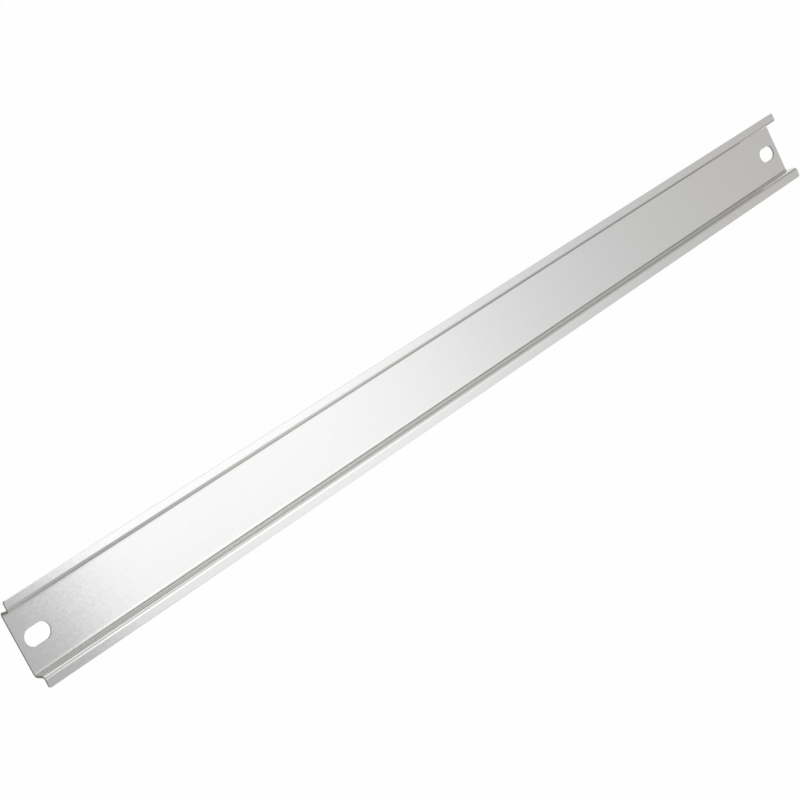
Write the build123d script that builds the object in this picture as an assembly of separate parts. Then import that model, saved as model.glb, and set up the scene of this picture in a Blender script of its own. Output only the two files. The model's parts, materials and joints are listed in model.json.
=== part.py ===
"""Mounting rail of top-hat section for clip-on electrical modules.

One piece of stock: a steel strip, zinc plated and clear passivated, rolled to a hat section and
cut to the width of an equipment rack. It lies on the back of its web with the open channel up.
A slot is punched through the web near each end for the mounting screws.

Frame: X along the rail, Y across it, Z up out of the channel. The origin is in the middle of the
web's back face. All sizes are in millimetres.
"""

import os

from build123d import *

# The rolled section
sheet_thickness = 1.0
channel_width = 27.0  # over the outsides of the two walls
lip_width = 4.0  # each flange, from its wall's outside to its free edge: 35 mm over both edges
section_height = 7.5  # from the back of the web to the front of the flanges
bend_radius = 0.6  # on the inside of each of the four bends
strip_edge_radius = 0.2  # on the strip's two free edges, back and front

# The cut length
rail_length = 482.0
corner_radius = 0.8  # the flanges' four free corners, seen from the front

# The punched slots
slot_length = 11.0
slot_width = 7.0
slot_end_distance = 8.5  # from each end of the rail to the middle of its slot
punch_edge_radius = 0.12  # round the front of each slot, where the punch went in

# Worked out from the sizes above
wall_outside = channel_width / 2
flange_back = section_height - sheet_thickness
outer_bend_radius = bend_radius + sheet_thickness
free_edge = wall_outside + lip_width
slot_pitch = rail_length - 2 * slot_end_distance


def hat_section():
    """The back surface of the bent strip, thickened towards the front, with its free edges eased."""
    back_corners = [
        (-free_edge, flange_back),
        (-wall_outside, flange_back),
        (-wall_outside, 0),
        (wall_outside, 0),
        (wall_outside, flange_back),
        (free_edge, flange_back),
    ]
    bend_radii = [bend_radius, outer_bend_radius, outer_bend_radius, bend_radius]
    with BuildSketch(Plane.YZ) as section:
        with BuildLine():
            back_surface = FilletPolyline(*back_corners, radius=bend_radii)
            offset(back_surface, amount=sheet_thickness, side=Side.LEFT)
        make_face()
        free_corners = section.vertices().group_by(lambda corner: abs(corner.X))[-1]
        fillet(free_corners, radius=strip_edge_radius)
    return section.sketch


def plan_outline():
    """The rail seen from the front, with its four rounded corners."""
    with BuildSketch() as plan:
        RectangleRounded(rail_length, 2 * free_edge, corner_radius)
    return plan.sketch


def end_slots():
    """The slots' outlines, one near each end."""
    with BuildSketch() as slots:
        with GridLocations(slot_pitch, 0, 2, 1):
            SlotOverall(slot_length, slot_width)
    return slots.sketch


def rolled_rail():
    """The section run to length, its corners rounded and its slots punched from the front."""
    with BuildPart() as rail:
        extrude(hat_section(), amount=rail_length / 2, both=True)
        extrude(plan_outline(), amount=section_height, mode=Mode.INTERSECT)
        extrude(end_slots(), amount=sheet_thickness, mode=Mode.SUBTRACT)
        level_faces = rail.faces().filter_by(Axis.Z).sort_by(Axis.Z)
        web_front = level_faces[1]  # the web's back is the lowest, and the flanges are above both
        for slot_rim in web_front.inner_wires():
            fillet(slot_rim.edges(), radius=punch_edge_radius)
    return rail.part


os.makedirs("parts", exist_ok=True)
export_step(rolled_rail(), "parts/rail.step")
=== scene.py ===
import bpy
import bmesh
import json
import math
import numpy as np
from mathutils import Matrix, Vector


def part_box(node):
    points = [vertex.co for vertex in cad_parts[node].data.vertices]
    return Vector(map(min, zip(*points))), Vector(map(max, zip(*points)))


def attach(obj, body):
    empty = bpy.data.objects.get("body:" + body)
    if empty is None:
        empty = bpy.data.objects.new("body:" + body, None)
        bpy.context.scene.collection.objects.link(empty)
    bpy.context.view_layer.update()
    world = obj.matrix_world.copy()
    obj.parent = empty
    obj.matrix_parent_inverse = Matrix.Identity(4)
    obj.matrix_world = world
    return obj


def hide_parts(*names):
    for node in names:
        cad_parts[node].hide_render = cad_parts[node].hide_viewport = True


# A top-hat mounting rail of zinc plated steel, lying on its web. Lengths are in metres.
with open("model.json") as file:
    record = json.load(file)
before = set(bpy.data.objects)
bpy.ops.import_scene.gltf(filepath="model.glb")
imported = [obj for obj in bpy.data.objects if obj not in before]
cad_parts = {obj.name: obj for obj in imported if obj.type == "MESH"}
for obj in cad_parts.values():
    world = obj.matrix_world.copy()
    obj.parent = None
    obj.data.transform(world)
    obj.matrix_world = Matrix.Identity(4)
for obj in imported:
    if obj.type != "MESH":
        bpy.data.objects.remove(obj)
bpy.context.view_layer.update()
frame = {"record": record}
mm = 0.001
railLow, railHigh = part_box("rail")
slotDims = next(m for m in frame["record"]["mounts"] if m["name"] == "end_slots")["dims"]
quarterTurn = math.pi / 2
plainWhite = (1.0, 1.0, 1.0, 1.0)
tiny = 1e-9  # keeps a number that divides another off zero
print("frame: rail of", round((railHigh.x - railLow.x) / mm, 2), "mm")


# Shader maths: a sum on wires adds its Math nodes, and Graph.add makes every other node
class Wire:
    def __init__(self, graph, socket):
        self.graph = graph
        self.socket = socket

    def __add__(self, other):
        return self.graph.maths("ADD", self, other)

    def __radd__(self, other):
        return self.graph.maths("ADD", other, self)

    def __sub__(self, other):
        return self.graph.maths("SUBTRACT", self, other)

    def __rsub__(self, other):
        return self.graph.maths("SUBTRACT", other, self)

    def __mul__(self, other):
        return self.graph.maths("MULTIPLY", self, other)

    def __rmul__(self, other):
        return self.graph.maths("MULTIPLY", other, self)


class Graph:
    def __init__(self, tree):
        self.tree = tree
        tree.nodes.clear()

    def add(self, kind, settings=None, inputs=None, out=0):
        # inputs are values or wires; out is the output wanted, or a tuple of names for a wire each
        node = self.tree.nodes.new(kind)
        for name, value in (settings or {}).items():
            setattr(node, name, value)
        for name, value in (inputs or {}).items():
            if isinstance(value, Wire):
                self.tree.links.new(value.socket, node.inputs[name])
            else:
                node.inputs[name].default_value = value
        if isinstance(out, tuple):
            return [Wire(self, node.outputs[name]) for name in out]
        return Wire(self, node.outputs[out]) if node.outputs else None

    def maths(self, operation, first, second):
        return self.add("ShaderNodeMath", {"operation": operation}, {0: first, 1: second})

    def larger(self, first, second):
        return self.maths("MAXIMUM", first, second)

    def vectors(self, operation, inputs):
        return self.add("ShaderNodeVectorMath", {"operation": operation}, inputs)

    def rise(self, value, start, end, low=0.0, high=1.0):
        # an even S-shaped step from low, where the value is at start, to high, where it is at end
        inputs = {"Value": value, "From Min": start, "From Max": end, "To Min": low, "To Max": high}
        return self.add("ShaderNodeMapRange", {"interpolation_type": "SMOOTHSTEP"}, inputs)

    def fall(self, value, start, end):
        # the same step, down from 1 to 0
        return self.rise(value, start, end, 1.0, 0.0)

    def blend(self, factor, first, second, how="MIX"):
        # one colour fading into another; its colour sockets go by number, since their names repeat
        settings = {"data_type": "RGBA", "blend_type": how}
        return self.add("ShaderNodeMix", settings, {0: factor, 6: first, 7: second}, out=2)

    def noise(self, place, size, detail=1.0):
        # clouds between 0 and 1 of about that size, which is given in millimetres
        inputs = {"Vector": place, "Scale": 1 / (size * mm), "Detail": detail}
        return self.add("ShaderNodeTexNoise", None, inputs)


# The rolled strip: its walls spring open and its flanges lean back a little, as on real stock.
# Where a value has two parts, the first is for the -Y side and the second for the +Y side.
strip = {
    "sheet": 1.0 * mm,
    "softStart": 1.0 * mm,  # the web's last stretch before each foot bend, where it lifts already
    "softTurn": math.radians(2.8),  # and how steep it is at the end of that
    "footBend": 0.70 * mm,  # inside of the two bends beside the web
    "shoulderBend": 0.95 * mm,  # inside of the two bends beside the flanges
    "wallTop": (12.47 * mm, 12.93 * mm),  # each wall's channel side, carried up to the flange
    "wallLean": (math.radians(3.5), math.radians(3.5)),  # each wall, outward from upright
    "flangeLean": (math.radians(2.55), math.radians(0.6)),  # each flange, down towards its edge
    "paintedShadeAndDullFrom": math.radians(10),  # painted shade darkens the zinc, and it grows duller, from this steepness on
    "paintedShadeAndDullTo": math.radians(50),  # and both are full from this
    "bendShare": 0.58,  # the bends' share of the full painted shade and dullness; the foot corners give the rest
    "cornerShadeReach": 3.0 * mm,  # how far the painted shade and dullness at the foot corners go along the strip
    "corner": 0.8 * mm,  # the flanges' free corners, seen from the front
    "slitEase": 0.2 * mm,  # rounding of the two free edges
    "slitBare": 0.06,  # how bare their steel is, and so how much of the dark steel colour, with its painted shade, they get: slit first and plated after
    "cutEase": 0.06 * mm,  # rounding of the two cut ends
    "hold": 0.04 * mm,  # a narrow row of faces beside each bend keeps the flats flat to the light
    "seam": 0.001 * mm,  # points of the mesh that are closer than this become one
}
bends = {"soft": 6, "foot": 12, "shoulder": 18, "corner": 8, "edge": 5}  # steps round each
cells = {"web": 64, "window": 40, "wall": 4, "flange": 6, "middle": 90}  # steps along each flat
slot = {
    "long": slotDims["slot_length_mm"] * mm,
    "wide": 2 * slotDims["hole_r_mm"] * mm,
    "apart": slotDims["spacing_x_mm"] * mm,
    "drawIn": 0.12 * mm,  # the rim that the punch pulled down at the front
    "breakOut": 0.05 * mm,  # how much wider the torn lower part is at the back
    "sheared": 0.45,  # share of the sheet that the punch cut clean
    "tearWider": 0.6,  # the torn part has this share of its widening already
    "tearHeight": 0.75,  # at this share of its height
    "tornBright": 0.55,  # how far the torn part catches light as the plating does
}

halfLength = (railHigh.x - railLow.x) / 2
halfWidth = (railHigh.y - railLow.y) / 2
height = railHigh.z - railLow.z
sheet = strip["sheet"]
footOuter = strip["footBend"] + sheet
wallTop = np.array(strip["wallTop"])
wallTurn = quarterTurn - np.array(strip["wallLean"])
flangeLean = np.array(strip["flangeLean"])


def chordShare(turn):
    # a chord's length beside its arc's: the sine of half the turn, over half the turn
    return np.sinc(turn / 2 / math.pi)


# Six runs from the web's middle to each free edge, each with its length along the strip's back and
# the angle it turns through, and one row for each side. A bend goes out by its radius times the
# difference of its two sines, and up by its radius times that of its cosines. The wall's channel
# side, carried up to the flange, fixes where the web ends. The wall takes what the bends leave of
# the height, and the flange runs out to the CAD box.
web, soft, foot, wall, shoulder, flange = range(6)
softTurn = strip["softTurn"]
softRadius = strip["softStart"] / softTurn
softOut = softRadius * math.sin(softTurn)
softRise = softRadius * (1 - math.cos(softTurn))
footSines = np.sin(wallTurn) - math.sin(softTurn)
footCosines = math.cos(softTurn) - np.cos(wallTurn)
shoulderCosines = 1 - np.cos(wallTurn)
frontOut = softOut - sheet * math.sin(softTurn) + strip["footBend"] * footSines
frontRise = softRise + sheet * math.cos(softTurn) + strip["footBend"] * footCosines
webHalf = wallTop - (height - frontRise) / np.tan(wallTurn) - frontOut
bendRise = softRise + footOuter * footCosines + strip["shoulderBend"] * shoulderCosines
wallRun = (height - sheet - bendRise) / np.sin(wallTurn)
bendOut = softOut + footOuter * footSines + strip["shoulderBend"] * np.sin(wallTurn)
crestY = webHalf + bendOut + wallRun * np.cos(wallTurn)
leanOut = (strip["shoulderBend"] + sheet) * np.sin(flangeLean)
flangeRun = (halfWidth - crestY - leanOut) / np.cos(flangeLean)
turns = np.zeros((2, flange + 1))
turns[:, soft] = softTurn
turns[:, foot] = wallTurn - softTurn
turns[:, shoulder] = -wallTurn - flangeLean
lengths = np.zeros((2, flange + 1))
lengths[:, web] = webHalf
lengths[:, soft] = strip["softStart"]
lengths[:, foot] = footOuter * turns[:, foot]
lengths[:, wall] = wallRun
lengths[:, shoulder] = strip["shoulderBend"] * -turns[:, shoulder]
lengths[:, flange] = flangeRun
runStart = np.cumsum(lengths, axis=1) - lengths
headings = np.cumsum(turns, axis=1) - turns
chords = lengths * chordShare(turns)
endY = np.cumsum(chords * np.cos(headings + turns / 2), axis=1)
endZ = np.cumsum(chords * np.sin(headings + turns / 2), axis=1)
startY = np.hstack([np.zeros((2, 1)), endY[:, :-1]])
startZ = np.hstack([np.zeros((2, 1)), endZ[:, :-1]])
stripHalf = lengths.sum(axis=1)

# Each slot has a window of the web to itself, measured from the slot's middle along the rail and
# from the web's middle across it
flatHalf = halfLength - strip["cutEase"]
windowHalf = flatHalf - strip["hold"] - slot["apart"] / 2
windowLow = strip["hold"] - webHalf[0]
windowHigh = webHalf[1] - strip["hold"]
slotRadius = slot["wide"] / 2
slotStraight = (slot["long"] - slot["wide"]) / 2
print("section: strip of", round(stripHalf.sum() / mm, 2), "mm bent four times")


def placeOnStrip(across):
    # across is measured on the strip's back from the web's middle. This gives the side, 0 for -Y
    # and 1 for +Y, the run, and how far along that run the place is.
    side = (across >= 0).astype(int)
    gone = np.abs(across)
    run = (gone[..., None] > runStart[side]).sum(axis=-1) - 1
    run = np.clip(run, web, flange)
    return side, run, gone - runStart[side, run]


def stripPoint(along, across, through):
    # The bent strip: along is X, and through is the height above the strip's back. A point is its
    # run's start, plus the chord of the arc it has gone along, plus through times the normal. A
    # straight run is an arc of no turn.
    side, run, here = placeOnStrip(across)
    turned = turns[side, run] / lengths[side, run] * here
    chord = here * chordShare(turned)
    half = headings[side, run] + turned / 2
    heading = headings[side, run] + turned
    y = startY[side, run] + chord * np.cos(half) - through * np.sin(heading)
    z = startZ[side, run] + chord * np.sin(half) + through * np.cos(heading)
    return np.stack([along, np.where(side == 1, y, -y), z], axis=-1)


def softStep(value):
    # 0 below 0 and 1 above 1, with an even S between: three times the square less twice the cube
    held = np.clip(value, 0, 1)
    return held**2 * (3 - 2 * held)


def paintedShadeAndDullAmount(across):
    # how much painted shade and dullness the zinc gets there: a soft step of the strip's steepness,
    # so that the steep walls are painted darker, and a soft bell round each foot bend's top,
    # painted shade in the inside corner
    side, run, here = placeOnStrip(across)
    share = np.clip(here / lengths[side, run], 0, 1)
    steepness = headings[side, run] + turns[side, run] * share
    bent = softStep((steepness - strip["paintedShadeAndDullFrom"]) / (strip["paintedShadeAndDullTo"] - strip["paintedShadeAndDullFrom"]))
    fromCorner = np.abs(np.abs(across) - runStart[side, wall])
    corner = softStep(1 - fromCorner / strip["cornerShadeReach"])
    return strip["bendShare"] * bent + (1 - strip["bendShare"]) * corner


def acrossLines(side):
    # places across the strip from the web's middle to the rounding of one free edge, and for each
    # of them half the rail's length there and the outline's direction, as an angle from X
    starts = runStart[side]
    ends = starts + lengths[side]
    hold = strip["hold"]
    angle = np.linspace(0, quarterTurn, bends["corner"] + 1)
    cornerAcross = strip["corner"] - strip["slitEase"]
    cornerAlong = strip["corner"] - strip["cutEase"]
    cornerLines = stripHalf[side] - strip["corner"] + cornerAcross * np.sin(angle)
    lines = np.concatenate([
        np.linspace(0, webHalf[side] - hold, cells["web"] // 2 + 1),
        np.linspace(starts[soft], ends[soft], bends["soft"] + 1)[:-1],
        np.linspace(starts[foot], ends[foot], bends["foot"] + 1),
        np.linspace(starts[wall] + hold, ends[wall] - hold, cells["wall"] + 1),
        np.linspace(starts[shoulder], ends[shoulder], bends["shoulder"] + 1),
        np.linspace(starts[flange] + hold, cornerLines[0], cells["flange"] + 1)[:-1],
        cornerLines,
    ])
    reach = np.full(len(lines), flatHalf)
    reach[-len(angle):] = halfLength - strip["corner"] + cornerAlong * np.cos(angle)
    outward = np.zeros(len(lines))
    outward[-len(angle):] = angle
    return lines, reach, outward


def alongLines():
    # places along the rail as shares of its flat half length, closer together over the slots
    middle = slot["apart"] / 2
    inner = middle - windowHalf
    half = np.concatenate([
        np.linspace(0, inner, cells["middle"] // 2 + 1)[:-1],
        np.linspace(inner, middle + windowHalf, cells["window"] + 1),
        [flatHalf],
    ])
    return np.concatenate([-half[:0:-1], half]) / flatHalf


class Shell:
    # grids of points put together as one mesh
    def __init__(self):
        self.points = []
        self.faces = []
        self.cut = []
        self.paintedShadeAndDull = []
        self.count = 0

    def grid(self, points, cut, paintedShadeAndDull=0.0, keep=None, flip=False, loop=False):
        # points is rows by columns by 3; cut is 1 on sheared metal, whose dark colour is partly
        # painted shade, and the next is the share of painted shade and dullness, by steepness and
        # round the foot corners; loop joins the last column to the first, and keep says which cells
        # become faces
        rows, columns = points.shape[:2]
        index = np.arange(rows * columns).reshape(rows, columns) + self.count
        if loop:
            index = np.hstack([index, index[:, :1]])
        quads = np.stack([index[:-1, :-1], index[1:, :-1], index[1:, 1:], index[:-1, 1:]], axis=-1)
        if keep is not None:
            quads = quads[keep]
        quads = quads.reshape(-1, 4)
        self.faces.append(quads[:, ::-1] if flip else quads)
        self.points.append(points.reshape(-1, 3))
        self.cut.append(np.broadcast_to(cut, (rows, columns)).ravel())
        self.paintedShadeAndDull.append(np.broadcast_to(paintedShadeAndDull, (rows, columns)).ravel())
        self.count += rows * columns

    def build(self, name):
        points = np.concatenate(self.points)
        faces = np.concatenate(self.faces)
        mesh = bpy.data.meshes.new(name)
        mesh.vertices.add(len(points))
        mesh.vertices.foreach_set("co", points.astype(np.float32).ravel())
        mesh.loops.add(faces.size)
        mesh.loops.foreach_set("vertex_index", faces.astype(np.int32).ravel())
        mesh.polygons.add(len(faces))
        loopStarts = np.arange(0, faces.size, faces.shape[1], dtype=np.int32)
        mesh.polygons.foreach_set("loop_start", loopStarts)
        mesh.update(calc_edges=True)
        for label, values in (("cut", self.cut), ("paintedShadeAndDull", self.paintedShadeAndDull)):
            attribute = mesh.attributes.new(label, "FLOAT", "POINT")
            attribute.data.foreach_set("value", np.concatenate(values).astype(np.float32))
        work = bmesh.new()
        work.from_mesh(mesh)
        bmesh.ops.remove_doubles(work, verts=work.verts, dist=strip["seam"])
        bmesh.ops.recalc_face_normals(work, faces=work.faces)
        loose = [v for v in work.verts if not v.link_faces]
        bmesh.ops.delete(work, geom=loose, context="VERTS")
        work.to_mesh(mesh)
        openEdges = sum(1 for e in work.edges if len(e.link_faces) != 2)
        work.free()
        mesh.polygons.foreach_set("use_smooth", np.ones(len(mesh.polygons), bool))
        piece = bpy.data.objects.new(name, mesh)
        bpy.context.scene.collection.objects.link(piece)
        print(name, "has", len(mesh.polygons), "faces and", openEdges, "open edges")
        return piece


def quarterRound():
    # a quarter circle from front to side, as shares of its radius: the sine for how far out it has
    # gone, and one less the cosine for how far down
    angle = np.linspace(0, quarterTurn, bends["edge"] + 1)
    return np.sin(angle), 1 - np.cos(angle)


def addFaces(shell, alongGrid, acrossGrid):
    # the strip's front and back, without the cells in each slot's window
    cellX = (alongGrid[:-1, :-1] + alongGrid[1:, 1:]) / 2
    cellY = (acrossGrid[:-1, :-1] + acrossGrid[1:, 1:]) / 2
    inWindow = np.abs(np.abs(cellX) - slot["apart"] / 2) < windowHalf
    inWindow &= (cellY > windowLow) & (cellY < windowHigh)
    paintedShadeAndDull = paintedShadeAndDullAmount(acrossGrid)
    for level, flip in ((sheet, False), (0.0, True)):
        points = stripPoint(alongGrid, acrossGrid, level)
        shell.grid(points, 0.0, paintedShadeAndDull, keep=~inWindow, flip=flip)


def addRim(shell, alongGrid, across, share, outward):
    # the rim: the grid's own border, carried out and down by the quarter round of its edge, and in
    # again behind. A border point's way out is the cosine and sine of the outline's direction.
    rows, columns = alongGrid.shape
    lastRow, lastColumn = rows - 1, columns - 1
    ring = [
        (np.full(columns, 0), np.arange(columns)),
        (np.arange(1, rows), np.full(lastRow, lastColumn)),
        (np.full(lastColumn, lastRow), np.arange(lastColumn - 1, -1, -1)),
        (np.arange(lastRow - 1, 0, -1), np.full(lastRow - 1, 0)),
    ]
    atRow = np.concatenate([row for row, column in ring])
    atColumn = np.concatenate([column for row, column in ring])
    onEnd = (atRow == 0) | (atRow == lastRow)
    outX = np.where(onEnd, np.sign(share[atRow]) * np.cos(outward[atColumn]), 0.0)
    outY = np.where(onEnd, np.sin(outward[atColumn]), np.sign(across[atColumn]))
    out, down = quarterRound()
    outRows = np.concatenate([out, out[::-1]])[:, None]
    ease = strip["cutEase"] + (strip["slitEase"] - strip["cutEase"]) * np.abs(outY)
    drop = down[:, None] * ease
    through = np.concatenate([sheet - drop, drop[::-1]])
    rimX = alongGrid[atRow, atColumn] + outRows * outX * strip["cutEase"]
    rimY = across[atColumn] + outRows * outY * strip["slitEase"]
    rimCut = outRows * np.where(onEnd, 1.0, strip["slitBare"])
    points = stripPoint(rimX, rimY, through)
    shell.grid(points, rimCut, paintedShadeAndDullAmount(across[atColumn]), loop=True)


def slotEdge(rayX, rayY):
    # how far out the slot's edge is along each ray from its middle: half the width over the ray's y
    # on the straight sides, and the far crossing with the round end's circle elsewhere
    toFlat = slotRadius / np.maximum(np.abs(rayY), tiny)
    inset = np.sqrt(np.maximum(slotRadius**2 - (slotStraight * rayY) ** 2, 0.0))
    toRound = slotStraight * np.abs(rayX) + inset
    return np.where(toFlat * np.abs(rayX) <= slotStraight, toFlat, toRound)


def slotProfile():
    # rows from front to back: how far outside the slot's edge, how high, and how bare the steel is,
    # which also brings the painted shade of its dark colour. The drawn-in rim is a quarter round,
    # the clean cut is straight, and the torn part widens.
    out, down = quarterRound()
    tearAt = sheet * (1 - slot["sheared"])
    tornCut = 1 - slot["tornBright"]
    offsets = np.concatenate([
        [slot["drawIn"] + strip["hold"]],
        slot["drawIn"] * (1 - out),
        [0.0, slot["breakOut"] * slot["tearWider"], slot["breakOut"]],
        [slot["breakOut"] + strip["hold"]],
    ])
    levels = np.concatenate([
        [sheet],
        sheet - slot["drawIn"] * down,
        [tearAt, tearAt * slot["tearHeight"], 0.0],
        [0.0],
    ])
    cut = np.concatenate([[0.0], out**2, [1.0, tornCut, tornCut], [0.0]])
    return offsets, levels, cut


def addSlot(shell, share, across, centre):
    # one slot: from the window's border to the slot's edge along rays from its middle, down the
    # profile, and back out to the border behind
    slack = strip["hold"] / 4  # a line this close to the border is on it
    windowX = share * flatHalf - centre
    windowX = windowX[np.abs(windowX) < windowHalf + slack]
    windowY = across[(across > windowLow - slack) & (across < windowHigh + slack)]
    borderX = np.concatenate([
        np.full(len(windowY) - 1, windowX[0]),
        windowX[:-1],
        np.full(len(windowY) - 1, windowX[-1]),
        windowX[:0:-1],
    ])
    borderY = np.concatenate([
        windowY[:-1],
        np.full(len(windowX) - 1, windowY[-1]),
        windowY[:0:-1],
        np.full(len(windowX) - 1, windowY[0]),
    ])
    angle = np.arctan2(borderY, borderX)
    rayX, rayY = np.cos(angle), np.sin(angle)
    ray = slotEdge(rayX, rayY)
    edgeX, edgeY = ray * rayX, ray * rayY
    fromX = np.clip(edgeX, -slotStraight, slotStraight)
    normalX, normalY = (edgeX - fromX) / slotRadius, edgeY / slotRadius
    offsets, levels, cut = slotProfile()
    wallX = edgeX + offsets[:, None] * normalX
    wallY = edgeY + offsets[:, None] * normalY
    halfwayX = (wallX[:1] + borderX) / 2
    halfwayY = (wallY[:1] + borderY) / 2
    tubeX = np.concatenate([borderX[None], halfwayX, wallX, halfwayX, borderX[None]])
    tubeY = np.concatenate([borderY[None], halfwayY, wallY, halfwayY, borderY[None]])
    tubeZ = np.concatenate([[sheet, sheet], levels, [0.0, 0.0]])[:, None] * np.ones(len(borderX))
    tubeCut = np.concatenate([[0.0, 0.0], cut, [0.0, 0.0]])[:, None]
    shell.grid(stripPoint(tubeX + centre, tubeY, tubeZ), tubeCut, loop=True)


def buildRail():
    minus, minusReach, minusOutward = acrossLines(0)
    plus, plusReach, plusOutward = acrossLines(1)
    across = np.concatenate([-minus[:0:-1], plus])
    reach = np.concatenate([minusReach[:0:-1], plusReach])
    outward = np.concatenate([-minusOutward[:0:-1], plusOutward])
    share = alongLines()
    alongGrid = share[:, None] * reach[None, :]
    acrossGrid = np.broadcast_to(across, alongGrid.shape)
    shell = Shell()
    addFaces(shell, alongGrid, acrossGrid)
    addRim(shell, alongGrid, across, share, outward)
    for end in (-1, 1):
        addSlot(shell, share, across, end * slot["apart"] / 2)
    return shell.build("rail_strip")


# Zinc plating, clear passivated: bright satin with fine rolling grain. Its sizes are millimetres.
zinc = {
    "light": (0.812, 0.812, 0.795, 1.0),
    "dull": (0.803, 0.803, 0.785, 1.0),
    "paintedShadeAndDull": (0.776, 0.779, 0.73, 1.0),  # painted shade: times the colour where the walls and foot corners are darkened, which also yellows them
    "steel": (0.12, 0.11, 0.10, 1.0),  # bare sheared steel at the ends and in the slots, painted darker than bare steel as shade
    # the torn steel's paler grain, also darkened with painted shade
    "paleSteelAndShade": (0.22, 0.21, 0.195, 1.0),
    "tearSize": 0.22,  # of the torn steel's grain
    "roughness": 0.10,
    "dullRoughness": 0.135,
    "cutRoughness": 0.45,
    "speckLevel": 0.006,  # how much the roughness wanders with the dullness
    "dullSize": 1.4,  # of the duller clouds
    "cloudDetail": 2.0,  # of those clouds and of the torn grain
    "cloudEdges": (0.35, 0.65),  # where a cloud starts and is full, as shares of the noise
    "streakStretch": (0.26, 1.0, 1.0),  # the rolling marks run along the strip
    "streakSize": 0.38,  # and are this wide
    "streakTip": 0.0145,  # how far they tip the surface lengthwise
    "waveSize": 2.0,  # of the sheet's soft waves
    "waveTip": 0.0012,
    "tipMiddle": 0.5,  # the noise that tips it neither way
    "lengthwise": (1.0, 0.0, 0.0),
    "pitSize": 0.65,  # of the plating's own fine skin
    "pitHeight": 0.0010 * mm,  # this one is in metres, as the Bump node asks
    "smoothed": 1.0,  # how much of the relief the rollers took away where they bent it most
}


def zincMaterial():
    material = bpy.data.materials.new("zinc_plated_steel")
    material.use_nodes = True
    graph = Graph(material.node_tree)
    place = graph.add("ShaderNodeTexCoord", out="Object")
    cut = graph.add("ShaderNodeAttribute", {"attribute_name": "cut"}, out="Fac")
    paintedShadeAndDull = graph.add("ShaderNodeAttribute", {"attribute_name": "paintedShadeAndDull"}, out="Fac")
    drawnOut = graph.vectors("MULTIPLY", {0: place, 1: zinc["streakStretch"]})
    streaks = graph.noise(drawnOut, zinc["streakSize"])
    waves = graph.noise(drawnOut, zinc["waveSize"])
    pits = graph.noise(place, zinc["pitSize"])
    dullness = graph.noise(place, zinc["dullSize"], zinc["cloudDetail"])
    dullness = graph.rise(dullness, *zinc["cloudEdges"])
    torn = graph.noise(place, zinc["tearSize"], zinc["cloudDetail"])
    torn = graph.rise(torn, *zinc["cloudEdges"])
    colour = graph.blend(dullness, zinc["light"], zinc["dull"])
    # painted shade: the steep walls and the foot corners are multiplied darker and yellower
    colour = graph.blend(paintedShadeAndDull, colour, zinc["paintedShadeAndDull"], how="MULTIPLY")
    # the cut faces take bare steel's colour, darkened further as painted shade
    colour = graph.blend(cut, colour, graph.blend(torn, zinc["steel"], zinc["paleSteelAndShade"]))
    rough = zinc["roughness"] + dullness * zinc["speckLevel"]
    rough = rough + paintedShadeAndDull * (zinc["dullRoughness"] - zinc["roughness"])
    rough = rough + cut * (zinc["cutRoughness"] - zinc["roughness"])
    # the marks tip the surface: the normal, plus the strip's own direction times a small share
    tip = (streaks - zinc["tipMiddle"]) * zinc["streakTip"]
    tip = tip + (waves - zinc["tipMiddle"]) * zinc["waveTip"]
    push = graph.vectors("SCALE", {0: zinc["lengthwise"], "Scale": tip})
    surfaceNormal = graph.add("ShaderNodeNewGeometry", out="Normal")
    tipped = graph.vectors("NORMALIZE", {0: graph.vectors("ADD", {0: surfaceNormal, 1: push})})
    relief = graph.add("ShaderNodeBump", None, {
        "Strength": 1.0,
        "Distance": 1.0,
        "Normal": tipped,
        "Height": pits * zinc["pitHeight"] * (1.0 - paintedShadeAndDull * zinc["smoothed"]),
    })
    surface = graph.add("ShaderNodeBsdfPrincipled", None, {
        "Metallic": 1.0,
        "Base Color": colour,
        "Roughness": rough,
        "Normal": relief,
    })
    graph.add("ShaderNodeOutputMaterial", None, {"Surface": surface})
    print("zinc plating has", len(material.node_tree.nodes), "nodes")
    return material


railStrip = buildRail()
railStrip.data.materials.append(zincMaterial())
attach(railStrip, "root")
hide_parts("rail")

# The pale floor: plain white to the camera and in reflections, with the object's soft shadow kept
floorLook = {
    "half": 6.0,  # from its middle to each side
    "gap": 0.1 * mm,  # between it and the rail
    "white": (0.96, 0.96, 0.96, 1.0),
    "plainShare": 0.975,  # how much of what is seen is plain white and not the lit floor
}


def buildFloor():
    mesh = bpy.data.meshes.new("floor")
    level = railLow.z - floorLook["gap"]
    corners = np.array([[-1, -1], [1, -1], [1, 1], [-1, 1]]) * floorLook["half"]
    mesh.from_pydata([(x, y, level) for x, y in corners], [], [(0, 1, 2, 3)])
    floor = bpy.data.objects.new("floor", mesh)
    bpy.context.scene.collection.objects.link(floor)
    material = bpy.data.materials.new("floor_white")
    material.use_nodes = True
    graph = Graph(material.node_tree)
    rays = ("Is Camera Ray", "Is Glossy Ray", "Is Transmission Ray")
    seen, mirrored, through = graph.add("ShaderNodeLightPath", out=rays)
    shown = graph.larger(graph.larger(seen, mirrored), through)
    lit = graph.add("ShaderNodeBsdfDiffuse", None, {"Color": floorLook["white"]})
    plain = graph.add("ShaderNodeEmission", None, {"Color": plainWhite, "Strength": 1.0})
    share = shown * floorLook["plainShare"]
    surface = graph.add("ShaderNodeMixShader", None, {0: share, 1: lit, 2: plain})
    graph.add("ShaderNodeOutputMaterial", None, {"Surface": surface})
    mesh.materials.append(material)
    print("floor at", round(level / mm, 2), "mm")


buildFloor()

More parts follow.
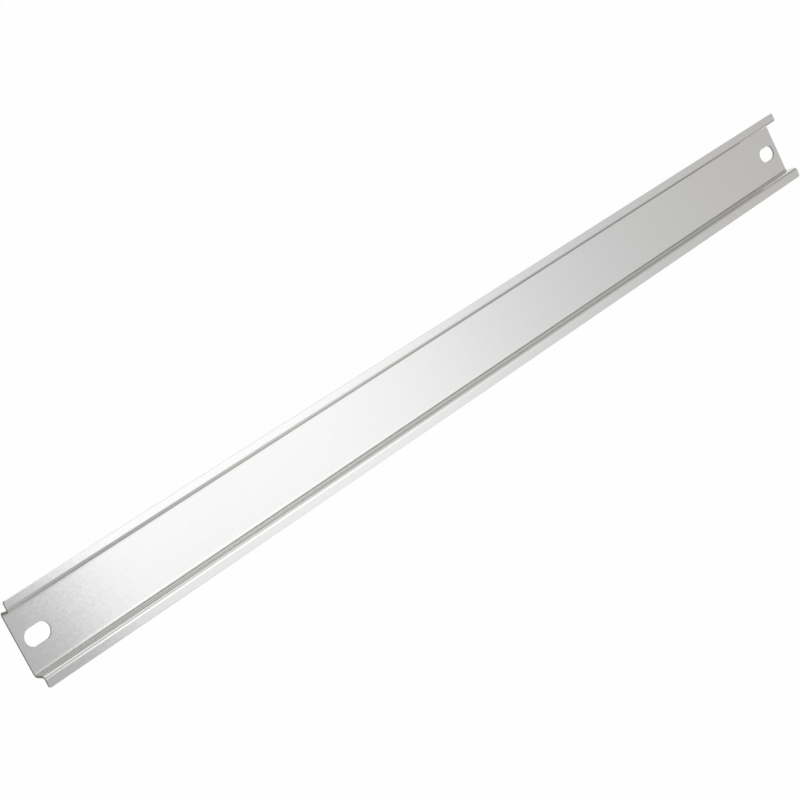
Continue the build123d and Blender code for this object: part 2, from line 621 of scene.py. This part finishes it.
# The studio: soft boxes and flags above a room of even light. Their edges are the starts and ends
# of soft steps: near and far by the direction's x, and sides by its sweep in degrees from -Y over
# the top to +Y. Slope brightens a box with the sweep, and its corner is cut off along
# x + skew * sweep.
studio = {
    "room": 0.516,
    "roomFall": 0.284,  # how fast the room darkens towards the far end's side
    "fallFrom": 0.36,
    "darkest": 0.02,
    "nearTint": (1.011, 1.0, 1.034, 1.0),
    "middleTint": (1.0, 1.0, 1.018, 1.0),
    "farTint": (1.028, 1.0, 0.982, 1.0),
    "middleFrom": (0.41, 0.46),
    "farFrom": (0.70, 0.77),
    "boxes": {
        "key": {
            "level": 0.982,
            "near": (0.349, 0.435),
            "far": (0.419, 0.727),
            "sides": (-63.4, -29.0, 9.2, 21.9),
            "slope": 0.0249,
            "skew": 0.0020,
            "cut": (0.359, 0.412),
        },
        "fill": {
            "level": 0.494,
            "near": (0.448, 0.621),
            "far": (0.367, 1.066),
            "sides": (-116, -82.4, 18.0, 21.1),
        },
        "plusYBox": {
            "level": 1.225,
            "near": (0.334, 0.525),
            "far": (0.47, 0.87),
            "sides": (20.7, 29.8, 29.0, 49.0),
        },
        "plusYBackdrop": {
            "level": 0.629,
            "near": (0.18, 0.33),
            "far": (0.36, 0.853),
            "sides": (50.9, 54.1, 97, 101),
        },
        "minusYBox": {
            "level": 0.33,
            "near": (0.43, 0.48),
            "far": (0.58, 0.70),
            "sides": (-125, -100, -84, -70),
        },
        "minusYFlag": {
            "level": -0.333,
            "near": (0.516, 0.627),
            "far": (0.574, 1.016),
            "sides": (-101, -97, -52.3, -47.0),
        },
        "left": {
            "level": 0.44,
            "near": (-1.0, -0.65),
            "far": (-0.15, 0.25),
            "sides": (-75, -30, 30, 75),
        },
    },
}


def buildStudio():
    world = bpy.data.worlds.new("studio")
    bpy.context.scene.world = world
    world.use_nodes = True
    graph = Graph(world.node_tree)
    direction = graph.add("ShaderNodeTexCoord", out="Generated")
    x, y, z = graph.add("ShaderNodeSeparateXYZ", None, {"Vector": direction}, out=("X", "Y", "Z"))
    sweep = graph.maths("ARCTAN2", y, z) * math.degrees(1)
    level = studio["room"] - studio["roomFall"] * graph.larger(x - studio["fallFrom"], 0.0)
    for box in studio["boxes"].values():
        low, lowEnd, high, highEnd = box["sides"]
        light = graph.rise(x, *box["near"]) * graph.fall(x, *box["far"])
        light = light * graph.rise(sweep, low, lowEnd) * graph.fall(sweep, high, highEnd)
        if "slope" in box:
            light = light * (1.0 + box["slope"] * sweep)
            light = light * graph.rise(x + box["skew"] * sweep, *box["cut"])
        level = level + light * box["level"]
    level = graph.larger(level, studio["darkest"])
    middle = graph.rise(x, *studio["middleFrom"])
    tint = graph.blend(middle, studio["nearTint"], studio["middleTint"])
    tint = graph.blend(graph.rise(x, *studio["farFrom"]), tint, studio["farTint"])
    # past the floor's edge the camera sees plain white
    seen, through = graph.add("ShaderNodeLightPath", out=("Is Camera Ray", "Is Transmission Ray"))
    shown = graph.larger(seen, through)
    level = level + shown * (1.0 - level)
    tint = graph.blend(shown, tint, plainWhite)
    glow = graph.add("ShaderNodeBackground", None, {"Color": tint, "Strength": level})
    graph.add("ShaderNodeOutputWorld", None, {"Surface": glow})
    print("studio has", len(studio["boxes"]), "boxes and flags")


buildStudio()

# The camera, at the photo's viewing angle
camera = {
    "place": (-0.4945, 0.1195, 0.6063),
    "right": (0.6735, -0.4436, 0.5912),
    "up": (0.4447, 0.8821, 0.1553),
    "lens": 82.82,  # this and the sensor's width are in millimetres
    "sensor": 36.0,
}


def buildCamera():
    data = bpy.data.cameras.new("camera")
    data.lens = camera["lens"]
    data.sensor_width = camera["sensor"]
    piece = bpy.data.objects.new("camera", data)
    right = Vector(camera["right"]).normalized()
    back = right.cross(Vector(camera["up"])).normalized()
    up = back.cross(right)
    turn = Matrix((right, up, back)).transposed().to_4x4()
    piece.matrix_world = Matrix.Translation(camera["place"]) @ turn
    bpy.context.scene.collection.objects.link(piece)
    bpy.context.scene.camera = piece
    print("camera with a lens of", camera["lens"], "mm")


buildCamera()
bpy.context.scene.view_settings.view_transform = "Standard"
print("stage, studio and camera ready")
